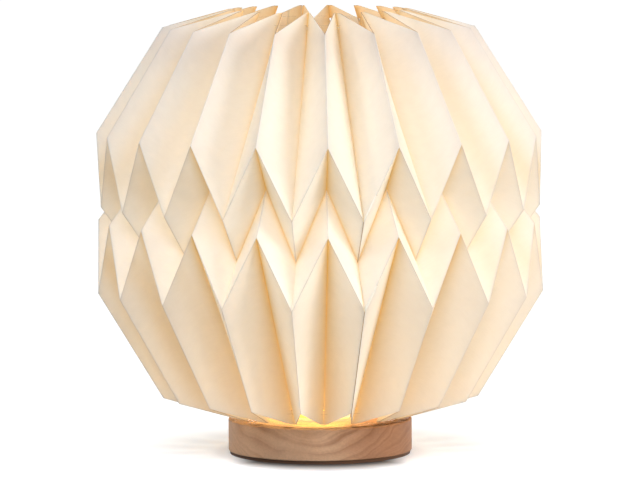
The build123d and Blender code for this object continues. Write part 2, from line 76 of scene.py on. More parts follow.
def put(tree, kind, values=None, **settings):
    """Adds a shader node with its inputs fed and its settings made."""
    made = tree.nodes.new("ShaderNode" + kind)
    for name, value in settings.items():
        setattr(made, name, value)
    feed(tree, made, values or {})
    return made


def math_of(tree, operation, first, second=0.0):
    """One Math node on two values or outputs."""
    return put(tree, "Math", {0: first, 1: second}, operation=operation).outputs[0]


def seen_by_lens(tree):
    """1 for the rays that carry the backdrop to the camera: straight, by a reflection or through glass."""
    path = put(tree, "LightPath")
    straight_or_glossy = math_of(
        tree, "MAXIMUM", path.outputs["Is Camera Ray"], path.outputs["Is Glossy Ray"]
    )
    return math_of(tree, "MAXIMUM", straight_or_glossy, path.outputs["Is Transmission Ray"])


world = bpy.data.worlds.new("studio_air")
world.use_nodes = True
bpy.context.scene.world = world
air = world.node_tree
room_light = put(air, "Background", {"Color": (1.0, 0.96, 0.91, 1), "Strength": 0.175})
white_wall = put(air, "Background", {"Color": (1, 1, 1, 1), "Strength": 1.0})
either = put(air, "MixShader", {0: seen_by_lens(air), 1: room_light.outputs[0], 2: white_wall.outputs[0]})
feed(air, air.nodes["World Output"], {"Surface": either.outputs[0]})


# The studio floor.
# A matt white sheet that runs back out of sight. Away from the lamp it is lifted to the backdrop's white.
# Close in front of the foot and behind it the paint is dark, for the soft shade where the base stands.
def ramp(tree, value, low=0.0, high=1.0, to_low=0.0, to_high=1.0, kind="LINEAR"):
    """value carried from low and high to to_low and to_high, and held there beyond. It goes on a straight
    line, or on the S curve 3 t^2 - 2 t^3 where kind is SMOOTHSTEP."""
    ends = {"Value": value, "From Min": low, "From Max": high, "To Min": to_low, "To Max": to_high}
    return put(tree, "MapRange", ends, interpolation_type=kind).outputs[0]


def between(tree, share, first, second):
    """The colour that lies share of the way from first to second."""
    return put(tree, "MixRGB", {0: share, 1: first, 2: second}).outputs[0]


floor_half = 16.0
floor_level = -0.00005
white_from, white_to = 0.07, 0.16
white_at_lamp = 0.3
foot_radius = 0.0575
shade_from, shade_to = -0.003, 0.042
shade_narrows_from, shade_narrows_to = 0.036, 0.060
floor_mesh = bpy.data.meshes.new("studio_floor")
floor_mesh.from_pydata(
    [(x * floor_half, y * floor_half, floor_level) for x, y in ((-1, -1), (1, -1), (1, 1), (-1, 1))],
    [],
    [(0, 1, 2, 3)],
)
floor = bpy.data.objects.new("studio_floor", floor_mesh)
bpy.context.scene.collection.objects.link(floor)

floor_paint = bpy.data.materials.new("studio_white")
floor_paint.use_nodes = True
tree = floor_paint.node_tree
tree.nodes.remove(tree.nodes["Principled BSDF"])
place = put(tree, "TexCoord").outputs["Object"]
from_lamp = put(tree, "VectorMath", {0: place}, operation="LENGTH").outputs["Value"]
far_off = ramp(tree, from_lamp, white_from, white_to, kind="SMOOTHSTEP")
across_and_back = put(tree, "SeparateXYZ", {0: place})
sideways = math_of(tree, "ABSOLUTE", across_and_back.outputs["X"])
# the foot's edge lies sqrt(radius^2 - x^2) before the middle and as far behind it
chord = math_of(tree, "SUBTRACT", foot_radius ** 2, math_of(tree, "MULTIPLY", sideways, sideways))
foot_edge = math_of(tree, "SQRT", math_of(tree, "MAXIMUM", chord, 0.0))
from_edge = math_of(tree, "SUBTRACT", math_of(tree, "ABSOLUTE", across_and_back.outputs["Y"]), foot_edge)
clear_before = ramp(tree, from_edge, shade_from, shade_to, kind="SMOOTHSTEP")
clear_beside = ramp(tree, sideways, shade_narrows_from, shade_narrows_to, kind="SMOOTHSTEP")
clear_of_foot = math_of(tree, "MAXIMUM", clear_before, clear_beside)
white = between(tree, far_off, (0.84, 0.88, 0.96, 1), (0.38, 0.375, 0.37, 1))
matt = put(tree, "BsdfDiffuse", {"Color": between(tree, clear_of_foot, (0.09, 0.08, 0.075, 1), white)})
lift_level = math_of(tree, "MULTIPLY", ramp(tree, far_off, to_low=white_at_lamp), clear_of_foot)
lift = put(tree, "Emission", {
    "Color": (0.985, 0.995, 1, 1),
    "Strength": math_of(tree, "MULTIPLY", seen_by_lens(tree), lift_level),
})
both = put(tree, "AddShader", {0: matt.outputs[0], 1: lift.outputs[0]})
feed(tree, tree.nodes["Material Output"], {"Surface": both.outputs[0]})
floor_mesh.materials.append(floor_paint)


# The studio's lights.
# Three square softboxes on stands: a slightly warm one low at the right, a cool one high at the left and a
# cooler one over the camera.
def soft_light(name, from_front, rise, away, size, power, tint):
    """A square light that faces the lamp's middle from away metres off. from_front and rise are its degrees
    round from the front towards the right, and up from level."""
    data = bpy.data.lights.new(name, "AREA")
    data.shape = "SQUARE"
    data.size = size
    data.energy = power
    data.color = tint
    lamp = bpy.data.objects.new(name, data)
    turn, up = radians(from_front), radians(rise)
    lamp.location = looked_at + away * np.array([sin(turn) * cos(up), -cos(turn) * cos(up), sin(up)])
    lamp.rotation_euler = (pi / 2 - up, 0, turn)
    bpy.context.scene.collection.objects.link(lamp)


soft_light("right_softbox", from_front=62, rise=18, away=2.4, size=1.2, power=38.5, tint=(1.0, 0.955, 0.90))
soft_light("left_softbox", from_front=-58, rise=46, away=2.4, size=1.4, power=22.5, tint=(0.86, 0.95, 1.0))
soft_light("front_softbox", from_front=4, rise=34, away=2.6, size=1.6, power=30.8, tint=(0.735, 0.84, 1.0))


# The foot pad.
# A disc of dark brown pressed felt, 1.8 mm thick, glued under the base. It shows as a thin dark edge. Its
# uneven tone and fine grain come from one shader group, which the other plain finishes use as well.
def colour(red, green, blue):
    """A display colour of 0 to 255 a channel as the linear colour that a shader takes: above a share of
    0.04045 it is ((share + 0.055) / 1.055)^2.4, and below that share / 12.92."""
    share = np.array([red, green, blue]) / 255
    linear = np.where(share > 0.04045, ((share + 0.055) / 1.055) ** 2.4, share / 12.92)
    return (*linear.tolist(), 1.0)


def noise_on(tree, place, scale, detail=2.0):
    """Noise of 0 to 1 in soft lumps of about 1 / scale metres."""
    return put(tree, "TexNoise", {"Vector": place, "Scale": scale, "Detail": detail}).outputs[0]


def group_with(name, takes, gives):
    """A shader node group with named sockets. takes has (name, kind, value) and gives (name, kind)."""
    group = bpy.data.node_groups.new(name, "ShaderNodeTree")
    for label, kind, value in takes:
        socket = group.interface.new_socket(label, in_out="INPUT", socket_type="NodeSocket" + kind)
        if value is not None:
            socket.default_value = value
    for label, kind in gives:
        group.interface.new_socket(label, in_out="OUTPUT", socket_type="NodeSocket" + kind)
    return group, group.nodes.new("NodeGroupInput").outputs, group.nodes.new("NodeGroupOutput")


surface_tone, given, result = group_with(
    "surface_tone",
    takes=[
        ("Place", "Vector", None),
        ("Colour", "Color", (0.5, 0.5, 0.5, 1)),
        ("Cloud scale", "Float", 60.0),
        ("Grain scale", "Float", 900.0),
        ("Spread", "Float", 0.15),
        ("Roughness", "Float", 0.5),
    ],
    gives=[("Colour", "Color"), ("Roughness", "Float"), ("Grain", "Float")],
)
cloud_share, grain_share = 0.65, 0.35
roughness_swing = 0.6
cloud = noise_on(surface_tone, given["Place"], given["Cloud scale"], 4.0)
grain = noise_on(surface_tone, given["Place"], given["Grain scale"])
cloud_part = math_of(surface_tone, "MULTIPLY", cloud, cloud_share)
grain_part = math_of(surface_tone, "MULTIPLY", grain, grain_share)
from_middle = math_of(surface_tone, "SUBTRACT", math_of(surface_tone, "ADD", cloud_part, grain_part), 0.5)
swing = math_of(surface_tone, "MULTIPLY", from_middle, given["Spread"])
brighter = math_of(surface_tone, "ADD", swing, 1.0)
toned = put(surface_tone, "VectorMath", {0: given["Colour"], 1: brighter}, operation="MULTIPLY")
rougher = math_of(surface_tone, "MULTIPLY", swing, roughness_swing)
feed(surface_tone, result, {
    "Colour": toned.outputs[0],
    "Roughness": math_of(surface_tone, "ADD", given["Roughness"], rougher),
    "Grain": grain,
})


def new_finish(name):
    """A material with its tree, its Principled shader and the place on the piece in metres."""
    made = bpy.data.materials.new(name)
    made.use_nodes = True
    tree = made.node_tree
    return made, tree, tree.nodes["Principled BSDF"], put(tree, "TexCoord").outputs["Object"]


def raised(tree, height, relief, strength=1.0):
    """The normal of a surface whose height of 0 to 1 stands for relief in metres."""
    return put(tree, "Bump", {"Height": height, "Distance": relief, "Strength": strength}).outputs[0]


def toned_finish(name, tint, roughness, clouds, grains, spread, relief, stretch=(1, 1, 1), also=None):
    """A moulded, pressed, foil or brushed finish. clouds and grains are the tone group's noise scales, relief
    is the grain's height in metres and stretch draws the grain out. also sets the shader's own sockets."""
    made, tree, shader, place = new_finish(name)
    tone = put(tree, "Group", node_tree=surface_tone)
    feed(tree, tone, {
        "Place": put(tree, "Mapping", {"Vector": place, "Scale": stretch}).outputs[0],
        "Colour": tint,
        "Cloud scale": clouds,
        "Grain scale": grains,
        "Spread": spread,
        "Roughness": roughness,
    })
    feed(tree, shader, {
        "Base Color": tone.outputs["Colour"],
        "Roughness": tone.outputs["Roughness"],
        "Normal": raised(tree, tone.outputs["Grain"], relief),
    })
    feed(tree, shader, also or {})
    return made


def dress(finish, *names):
    """Gives CAD nodes a finish in their own material slots."""
    for name in names:
        for slot in nodes[name].material_slots:
            slot.material = finish


brown_felt = toned_finish("brown_felt", colour(92, 62, 40), roughness=0.95, clouds=220, grains=2600,
                          spread=0.9, relief=0.0002, also={"Sheen Weight": 0.15})
dress(brown_felt, "foot_pad")

# The wooden base.
# A disc turned from one plank of pale hardwood and lacquered. The tree's heart lay above the disc and ran
# from front to back, so the growth rings come out on the front and back as faint upturned arcs. Towards the
# right the wood is painted browner: painted shade on that side.
heart_aside, heart_height = 0.004, 0.062
heart_lean = (0.05, 0.0, 0.12)
ring_wander = 0.016
rings_to_a_metre = 260.0
wood_shade_from, wood_shade_to = 0.014, 0.042
wood, tree, shader, place = new_finish("turned_wood")
from_heart = put(tree, "Mapping", {
    "Vector": place, "Location": (heart_aside, 0, -heart_height), "Rotation": heart_lean,
}).outputs[0]
wander = put(tree, "TexNoise", {"Vector": from_heart, "Scale": 26.0, "Detail": 2.0}).outputs["Color"]
wander = put(tree, "VectorMath", {0: wander, 1: (0.5, 0.5, 0.5)}, operation="SUBTRACT").outputs[0]
wander = put(tree, "VectorMath", {0: wander, 3: ring_wander}, operation="SCALE").outputs[0]
moved = put(tree, "VectorMath", {0: from_heart, 1: wander}, operation="ADD").outputs[0]
across = put(tree, "VectorMath", {0: moved, 1: (1, 0.06, 1)}, operation="MULTIPLY").outputs[0]
ring_size = put(tree, "VectorMath", {0: across}, operation="LENGTH").outputs["Value"]
ring_count = math_of(tree, "MULTIPLY", ring_size, rings_to_a_metre)
rings = put(tree, "TexNoise", {"W": ring_count, "Scale": 1.0, "Detail": 3.0, "Roughness": 0.6},
            noise_dimensions="1D").outputs[0]
patch = ramp(tree, noise_on(tree, place, 22.0, 3.0), 0.35, 0.68)
ring_strength = ramp(tree, patch, to_low=0.25)
ring_part = math_of(tree, "MULTIPLY", ramp(tree, rings, 0.36, 0.74), ring_strength)
across_disc = put(tree, "SeparateXYZ", {0: moved}).outputs["X"]
# painted shade: the wood turns browner towards the right
wood_right_shade = ramp(tree, across_disc, wood_shade_from, wood_shade_to, kind="SMOOTHSTEP")
springwood = between(tree, wood_right_shade, colour(208, 168, 134), colour(168, 122, 90))
summerwood = between(tree, wood_right_shade, colour(168, 124, 94), colour(138, 96, 68))
ring_colour = between(tree, ring_part, springwood, summerwood)
fibre = noise_on(tree, put(tree, "Mapping", {"Vector": moved, "Scale": (1, 0.05, 1)}).outputs[0], 900.0)
fibre_tone = ramp(tree, fibre, 0.3, 0.7, 0.93, 1.05)
wood_colour = put(tree, "VectorMath", {0: ring_colour, 1: fibre_tone}, operation="MULTIPLY").outputs[0]
feed(tree, shader, {
    "Base Color": wood_colour,
    "Roughness": ramp(tree, fibre, to_low=0.42, to_high=0.56),
    "Specular IOR Level": 0.2,
    "Normal": raised(tree, fibre, 0.00006, 0.5),
})
dress(wood, "wood_base")

# The bottom cover and the screws.
# The cover is moulded in black plastic with a fine spark grain, like the chips, the inlet's tongue and the
# switch. Zinc-plated screws hold the cover, the board, the light holder and the light's own board.
black_plastic = toned_finish("black_plastic", colour(44, 43, 42), roughness=0.6, clouds=90, grains=2400,
                             spread=0.5, relief=0.00005)
dress(black_plastic, "bottom_cover", "board_parts", "usb_tongue", "switch_body")
zinc_screw = toned_finish("zinc_screw", colour(196, 197, 200), roughness=0.34, clouds=260, grains=5200,
                          spread=0.3, relief=0.00001, also={"Metallic": 1.0})
dress(zinc_screw, "cover_screws", "board_screws", "holder_screws", "led_screws")

# The battery, its foam tape and the leads.
# A flat pouch cell in crinkled silver foil hangs on double-sided foam tape in the base's pocket. Its lead,
# and the one up to the light, have soft red insulation.
battery_foil = toned_finish("battery_foil", colour(206, 208, 212), roughness=0.36, clouds=130, grains=420,
                            spread=0.25, relief=0.0003, also={"Metallic": 1.0})
dress(battery_foil, "battery_pouch")
foam_tape = toned_finish("foam_tape", colour(238, 236, 230), roughness=0.95, clouds=500, grains=2200,
                         spread=0.35, relief=0.0003)
dress(foam_tape, "battery_foam_tape")
wire_insulation = toned_finish("wire_insulation", colour(178, 44, 36), roughness=0.42, clouds=70,
                               grains=1500, spread=0.25, relief=0.00002)
dress(wire_insulation, "battery_lead", "led_lead")

# The control board.
# Glass-fibre board under green solder mask. The copper runs show through the mask as paler slanting lines,
# which a brick pattern of long thin bricks draws, broken off here and there.
copper_runs, given, result = group_with(
    "copper_runs",
    takes=[
        ("Place", "Vector", None),
        ("Mask", "Color", (0, 0, 0, 1)),
        ("Copper", "Color", (1, 1, 1, 1)),
        ("Runs scale", "Float", 400.0),
    ],
    gives=[("Colour", "Color"), ("Roughness", "Float"), ("Relief", "Float")],
)
slanting = put(copper_runs, "Mapping", {"Vector": given["Place"], "Rotation": (0, 0, radians(45))})
runs = put(copper_runs, "TexBrick", {
    "Vector": slanting.outputs[0],
    "Color1": (0, 0, 0, 1),
    "Color2": (0.15, 0.15, 0.15, 1),
    "Mortar": (1, 1, 1, 1),
    "Scale": given["Runs scale"],
    "Mortar Size": 0.045,
    "Brick Width": 3.2,
    "Row Height": 0.5,
}).outputs["Color"]
cloud = noise_on(copper_runs, given["Place"], 140.0, 3.0)
shown = math_of(copper_runs, "MULTIPLY", runs, ramp(copper_runs, cloud, 0.4, 0.55))
feed(copper_runs, result, {
    "Colour": between(copper_runs, shown, given["Mask"], given["Copper"]),
    "Roughness": ramp(copper_runs, cloud, to_low=0.24, to_high=0.4),
    "Relief": runs,
})


def board_finish(name, mask, copper, pitch):
    """A circuit board under solder mask, with copper runs pitch apart in metres."""
    made, tree, shader, place = new_finish(name)
    board = put(tree, "Group", node_tree=copper_runs)
    feed(tree, board, {"Place": place, "Mask": mask, "Copper": copper, "Runs scale": 1.0 / pitch})
    feed(tree, shader, {
        "Base Color": board.outputs["Colour"],
        "Roughness": board.outputs["Roughness"],
        "Normal": raised(tree, board.outputs["Relief"], 0.00003),
    })
    return made


dress(board_finish("board_green", colour(26, 92, 58), colour(58, 134, 78), 0.0026), "control_board")

# The charging inlet.
# A folded steel shell with a satin face, drawn in the plug's direction. It is soldered to the board, and
# ends just behind the mouth in the rear port plate.
inlet_steel = toned_finish("inlet_steel", colour(200, 201, 204), roughness=0.3, clouds=160, grains=2600,
                           spread=0.25, relief=0.00001, stretch=(1, 0.06, 1), also={"Metallic": 1.0})
dress(inlet_steel, "usb_shell")

# The rear port plate, the button and the light holder.
# The plate is dark brown moulded plastic let into the wood, and the button is a paler brown cap in it. The
# button's stem and the light's holder are moulded in white plastic.
port_plastic = toned_finish("port_plastic", colour(74, 60, 50), roughness=0.62, clouds=120, grains=3000,
                            spread=0.4, relief=0.00006)
dress(port_plastic, "port_plate")
button_plastic = toned_finish("button_plastic", colour(112, 92, 76), roughness=0.45, clouds=160,
                              grains=2600, spread=0.25, relief=0.00003)
dress(button_plastic, "button_cap")
white_plastic = toned_finish("white_plastic", colour(240, 238, 231), roughness=0.42, clouds=60, grains=1900,
                             spread=0.08, relief=0.00002)
dress(white_plastic, "led_holder", "switch_stem")

# The heat spreader under the light.
# A plate of satin aluminium, brushed one way, that takes the heat of the light's board.
spreader_metal = toned_finish("spreader_aluminium", colour(214, 215, 218), roughness=0.36, clouds=120,
                              grains=2200, spread=0.25, relief=0.00002, stretch=(0.05, 1, 1),
                              also={"Metallic": 1.0})
dress(spreader_metal, "heat_spreader")

# The light's own board and its chips.
# The board has white solder mask. Each chip is covered with yellow phosphor, which is lit.
dress(board_finish("board_white", colour(240, 240, 236), colour(222, 220, 208), 0.0034), "led_board")
phosphor, tree, shader, place = new_finish("lit_phosphor")
speck = noise_on(tree, place, 2600.0)
yellow = between(tree, speck, colour(250, 214, 96), colour(244, 186, 60))
feed(tree, shader, {
    "Base Color": yellow,
    "Emission Color": yellow,
    "Emission Strength": 2.0,
    "Roughness": 0.4,
})
dress(phosphor, "led_chips")

# The light diffuser.
# A frosted cap over the chips, moulded in milky plastic and lit from inside: brightest on top, deeper
# yellow down its side where it meets the holder.
cap_low, cap_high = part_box("led_diffuser")
frosted, tree, shader, place = new_finish("lit_diffuser")
height = put(tree, "SeparateXYZ", {0: place}).outputs["Z"]
up_the_side = ramp(tree, height, cap_low.z, cap_high.z)
frost = noise_on(tree, place, 700.0)
uneven = math_of(tree, "MULTIPLY", math_of(tree, "SUBTRACT", frost, 0.5), 0.15)
lit = between(tree, math_of(tree, "ADD", up_the_side, uneven), colour(255, 186, 40), colour(255, 236, 130))
feed(tree, shader, {
    "Base Color": lit,
    "Emission Color": lit,
    "Emission Strength": 2.0,
    "Roughness": 0.7,
    "Normal": raised(tree, frost, 0.00003),
})
dress(frosted, "led_diffuser")


def glow_point(name, height, size, power, tint):
    """Light that comes off the diffuser, as a ball of light on the lamp's axis that the lens never sees."""
    data = bpy.data.lights.new(name, "POINT")
    data.energy = power
    data.shadow_soft_size = size
    data.color = tint
    lamp = bpy.data.objects.new(name, data)
    lamp.location = (0, 0, height)
    lamp.visible_camera = False
    lamp.visible_glossy = False
    lamp.visible_transmission = False
    bpy.context.scene.collection.objects.link(lamp)


glow_point("glow_low", height=0.046, size=0.010, power=0.28, tint=(1.0, 0.58, 0.12))
glow_point("glow_high", height=0.140, size=0.030, power=0.255, tint=(1.0, 0.96, 0.79))

# The clear collar and the light pipe.
# The collar is a ring of clear acrylic that lies on top of the base. The shade's lower tips stand on its
# foot and centre on its wall. The pipe is a rod of the same acrylic that brings the charge light out
# through the port plate.
clear, tree, shader, place = new_finish("clear_acrylic")
ripple = noise_on(tree, place, 240.0)
feed(tree, shader, {
    "Base Color": between(tree, ripple, colour(252, 252, 250), colour(244, 246, 244)),
    "Roughness": ramp(tree, ripple, to_low=0.02, to_high=0.09),
    "Transmission Weight": 1.0,
    "IOR": 1.3,
    "Alpha": 0.35,
})
dress(clear, "shade_collar", "light_pipe")

# The shade's paper.
# Thick laid paper, warm white, with fine laid lines across it and a cloudy pulp. It lets part of the light
# through. The marks on the folded sheet say where glow and shade are painted into its colour beside the
# folds: painted glow in the valleys, painted shade beside them and on the mountain crests.
laid_paper, given, result = group_with(
    "laid_paper",
    takes=[
        ("Flat place", "Vector", None),
        ("Painted glow", "Float", 0.0),
        ("Painted shade", "Float", 0.0),
        ("Crest shade", "Float", 0.0),
        ("Fill", "Color", (1, 1, 1, 1)),
        ("Shade", "Color", (1, 1, 1, 1)),
        ("Valley glow", "Color", (1, 1, 1, 1)),
        ("Crest", "Color", (1, 1, 1, 1)),
    ],
    gives=[("Colour", "Color"), ("Laid lines", "Float")],
)
laid_place = put(laid_paper, "Mapping", {"Vector": given["Flat place"], "Scale": (0.12, 1, 1)}).outputs[0]
laid_lines = noise_on(laid_paper, laid_place, 1100.0)
pulp = noise_on(laid_paper, given["Flat place"], 160.0, 5.0)
laid_part = math_of(laid_paper, "MULTIPLY", laid_lines, 0.4)
pulp_part = math_of(laid_paper, "MULTIPLY", pulp, 0.6)
tone = ramp(laid_paper, math_of(laid_paper, "ADD", laid_part, pulp_part), 0.3, 0.7, 0.975, 1.02)
# painted shade beside the valleys, painted glow in them and painted shade on the crests, laid over the
# paper's own colour
shaded = between(laid_paper, given["Painted shade"], given["Fill"], given["Shade"])
glowing = between(laid_paper, given["Painted glow"], shaded, given["Valley glow"])
with_crest_shade = between(laid_paper, given["Crest shade"], glowing, given["Crest"])
toned = put(laid_paper, "VectorMath", {0: with_crest_shade, 1: tone}, operation="MULTIPLY")
feed(laid_paper, result, {"Colour": toned.outputs[0], "Laid lines": laid_lines})

# painted shade on the inside towards the rim, from the first height to the second
rim_shade_from, rim_shade_to = 0.235, 0.268
# the colour of the painted glow that the valley folds give off
leak_colour = colour(255, 204, 96)


def paper_finish(name, fill, shade, valley_glow, crest, see_through, leak=0.0, rim_shade=None):
    """Laid paper. Its own colour goes from fill to shade, a painted shade colour, beside a valley fold and to
    valley_glow, a painted glow colour, in it, and crest is a painted shade colour for mountain folds.
    see_through is the share of light that comes through, leak is how brightly a valley fold glows with
    painted light, and the last colour, when given, is painted shade that darkens the paper towards the rim."""
    made, tree, shader, place = new_finish(name)
    marks = {}
    for mark in ("painted_glow", "painted_shade", "crest_shade"):
        marks[mark] = put(tree, "Attribute", attribute_name=mark).outputs["Fac"]
    sheet_paper = put(tree, "Group", node_tree=laid_paper)
    feed(tree, sheet_paper, {
        "Flat place": put(tree, "UVMap", uv_map="flat_sheet").outputs[0],
        "Painted glow": marks["painted_glow"],
        "Painted shade": marks["painted_shade"],
        "Crest shade": marks["crest_shade"],
        "Fill": fill,
        "Shade": shade,
        "Valley glow": valley_glow,
        "Crest": crest,
    })
    own_colour = seen_colour = sheet_paper.outputs["Colour"]
    # painted shade: the inside darkens towards the rim
    if rim_shade:
        height = put(tree, "SeparateXYZ", {0: place}).outputs["Z"]
        seen_colour = between(tree, ramp(tree, height, rim_shade_from, rim_shade_to), own_colour, rim_shade)
    feed(tree, shader, {
        "Base Color": seen_colour,
        "Roughness": 0.85,
        "Specular IOR Level": 0.2,
        "Normal": raised(tree, sheet_paper.outputs["Laid lines"], 0.00003, 0.6),
    })
    # painted glow: the valley folds give off light of their own
    if leak:
        leaking = between(tree, marks["painted_glow"], (0, 0, 0, 1), leak_colour)
        feed(tree, shader, {"Emission Color": leaking, "Emission Strength": leak})
    through = put(tree, "BsdfTranslucent", {"Color": own_colour})
    paper = put(tree, "MixShader", {0: see_through, 1: shader.outputs[0], 2: through.outputs[0]})
    feed(tree, tree.nodes["Material Output"], {"Surface": paper.outputs[0]})
    return made


# outside: the shade, valley_glow and crest colours are painted shade beside the valleys, painted glow in them
# and painted shade on the mountain crests
outer_paper = paper_finish(
    "pleated_paper", fill=colour(254, 254, 252), shade=colour(238, 221, 183),
    valley_glow=colour(224, 190, 116), crest=colour(214, 208, 206), see_through=0.4, leak=0.3,
)
# the inside is a warmer, darker copy of the paper: painted shade, deepest near the rim
inner_paper = paper_finish(
    "pleated_paper_inside", fill=colour(250, 242, 225), shade=colour(244, 230, 204),
    valley_glow=colour(240, 220, 182), crest=colour(250, 242, 225), see_through=0.75,
    rim_shade=colour(206, 160, 112),
)
# the cut edge is painted darker tan: painted shade along the narrow edge
cut_edge = paper_finish(
    "pleated_paper_edge", fill=colour(196, 168, 142), shade=colour(180, 150, 120),
    valley_glow=colour(180, 150, 120), crest=colour(196, 168, 142), see_through=0.1,
)
glued_paper = paper_finish(
    "glued_paper_tab", fill=colour(254, 252, 246), shade=colour(254, 252, 246),
    valley_glow=colour(254, 252, 246), crest=colour(254, 252, 246), see_through=0.92,
)

# The pleated shade.
# Two half sheets of the paper, each folded into ten pleats and glued to the other along a tab. Every panel
# runs in four tiers, and its folds swap between mountain and valley from one tier to the next. Tip folds
# are valleys at the rim and end there in the upper tips, and the ridge folds between them end in the lower
# tips, at the hem.
half_panels = 20
panel_turn = 9.0
front_turn = 2.13
seam_turns = {"right": front_turn + panel_turn, "left": front_turn + panel_turn * 21}
lowest_tip = 0.02365
panel_width = 0.034
paper_thickness = 0.0004
seam_run = 0.002
seam_depth = 0.00046
# distance from the axis and height over the lower tips of each fold corner in mm, from the rim down
ridge_corners = np.array([(97.5, 243.3), (139, 177.6), (117, 151.2), (138, 123.6), (56, 0)]) / 1000
tip_corners = np.array([(52.4, 255.4), (138, 133.2), (119, 107), (140, 79.6), (99.5, 13)]) / 1000
# each tier bends along one diagonal: True where it starts at the ridge fold's upper corner
bend_from_ridge_top = (True, False, False, True)
bend_softness = 0.28
# where grid lines lie, in mm across a panel and down a tier: close together at folds and punched holes
across_panel = np.array([0, 0.5, 1.25, 2.6, 4.6, 7.2, 10.4, 14, 17, 20, 23.6, 26.8, 29.4, 31.4, 32.75,
                         33.5, 34]) / 34
across_tab = np.array([0, 0.5, 1.25, 2.6, 4.6, 7.2, 10.4, 12]) / 34
long_tier_run = 0.1492
long_tier = np.array([0, 1.2, 3, 6, 9.5, 11.5, 12.23, 12.75, 13.27, 14, 16, 21, 29, 39, 50, 62, 75, 89, 103,
                      117, 129, 138, 144, 147, 148.7, 149.2]) / 149.2
short_tier = np.array([0, 0.5, 1.4, 3.4, 6.4, 10, 14, 17.2, 20.4, 24.4, 28, 31, 33, 33.9, 34.4]) / 34.4
down_tiers = (long_tier, short_tier, short_tier, 1 - long_tier[::-1])
hole_from_edge = 0.01275
rim_hole_radius = 0.00125
hem_hole_radius = 0.0005
tip_blunt = 0.0013
tip_blunt_width = 0.0019
tip_blunt_reach = 0.006


def column_points(turns, corners):
    """Fold corners as points: each distance and height set out at its turn, in degrees from the front."""
    turns = np.radians(np.asarray(turns))[..., None]
    away, up = corners[..., 0], corners[..., 1]
    return np.stack([away * np.sin(turns), -away * np.cos(turns), lowest_tip + up + 0 * turns], -1)


def soft_bend(ridge, tip, tier, share, down):
    """One tier of a panel. share is 0 on the ridge fold and 1 on the tip fold, and down is 0 on its upper
    edge. It is the twisted flat between four corners, pushed to the two flats that meet on a diagonal, with
    the bend between them rounded: the smaller of two slopes p and q is taken as
    (p + q - sqrt((p - q)^2 + 4 k p q)) / 2, where k is bend_softness."""
    shares = ((1 - share) * (1 - down), share * (1 - down), (1 - share) * down, share * down)
    corners = (ridge[tier], tip[tier], ridge[tier + 1], tip[tier + 1])
    twisted = sum(part[..., None] * corner for part, corner in zip(shares, corners))
    twist = ridge[tier] + tip[tier + 1] - tip[tier] - ridge[tier + 1]
    if bend_from_ridge_top[tier]:
        p, q, sign = share * (1 - down), down * (1 - share), 1.0
    else:
        p, q, sign = share * down, (1 - share) * (1 - down), -1.0
    lift = (p + q - np.sqrt((p - q) ** 2 + 4 * bend_softness * p * q)) / 2
    return twisted + sign * twist * lift[..., None]


def blunted(from_fold, from_edge):
    """How far the cut edge draws back at a point of the rim or hem, as a share of the tier: a rounded bell
    exp(-(distance from the fold / width)^2), which fades out in a straight line over the next rows."""
    bell = tip_blunt * np.exp(-((from_fold * panel_width / tip_blunt_width) ** 2))
    return bell / long_tier_run * np.clip(1 - from_edge * long_tier_run / tip_blunt_reach, 0, 1)


def panel_points(turn, rising, across):
    """A whole panel from turn to the next fold: rows of points from rim to hem for each share of its width
    in across. rising panels go from a tip fold to a ridge fold, and the others back to a tip fold."""
    corners = np.stack([tip_corners, ridge_corners] if rising else [ridge_corners, tip_corners])
    here, next_fold = column_points([turn, turn + panel_turn], corners)
    tip, ridge = (here, next_fold) if rising else (next_fold, here)
    from_ridge = 1 - across if rising else across
    tiers = []
    for tier, rows in enumerate(down_tiers):
        share, down = np.meshgrid(from_ridge, rows, indexing="ij")
        if tier == 0:
            down = down + blunted(1 - share, down)
        if tier == 3:
            down = down - blunted(share, 1 - down)
        tiers.append(soft_bend(ridge, tip, tier, share, down)[:, (1 if tier else 0):])
    return np.concatenate(tiers, 1)


def outward_of(points):
    """Unit normals of a grid: down the sheet crossed with along it."""
    along, down = np.gradient(points, axis=0), np.gradient(points, axis=1)
    normal = np.cross(down, along)
    return normal / np.linalg.norm(normal, axis=-1, keepdims=True)


def fold_runs(corners):
    """The length of a fold in each tier."""
    return np.linalg.norm(np.diff(column_points([0.0], corners[None])[0], axis=0), axis=1)


# the bends between tiers slant across a panel, so a metre down the sheet takes a point 700 mm from them
mm_from_bend = 700
# how strongly painted shade darkens the right and left sides of the lamp in a broad band beside each valley
# fold, by tier
right_side_shading = (0.6, 0.1, 0.4, 0.15)
left_side_shading = (0.5, 0.4, 0.0, 0.65)
side_band_middle, side_band_width = 14.5, 10
# how much of the painted glow and the painted shade beside a valley fade towards the lamp's sides
glow_lost_at_side, shade_lost_at_side = 0.85, 0.45


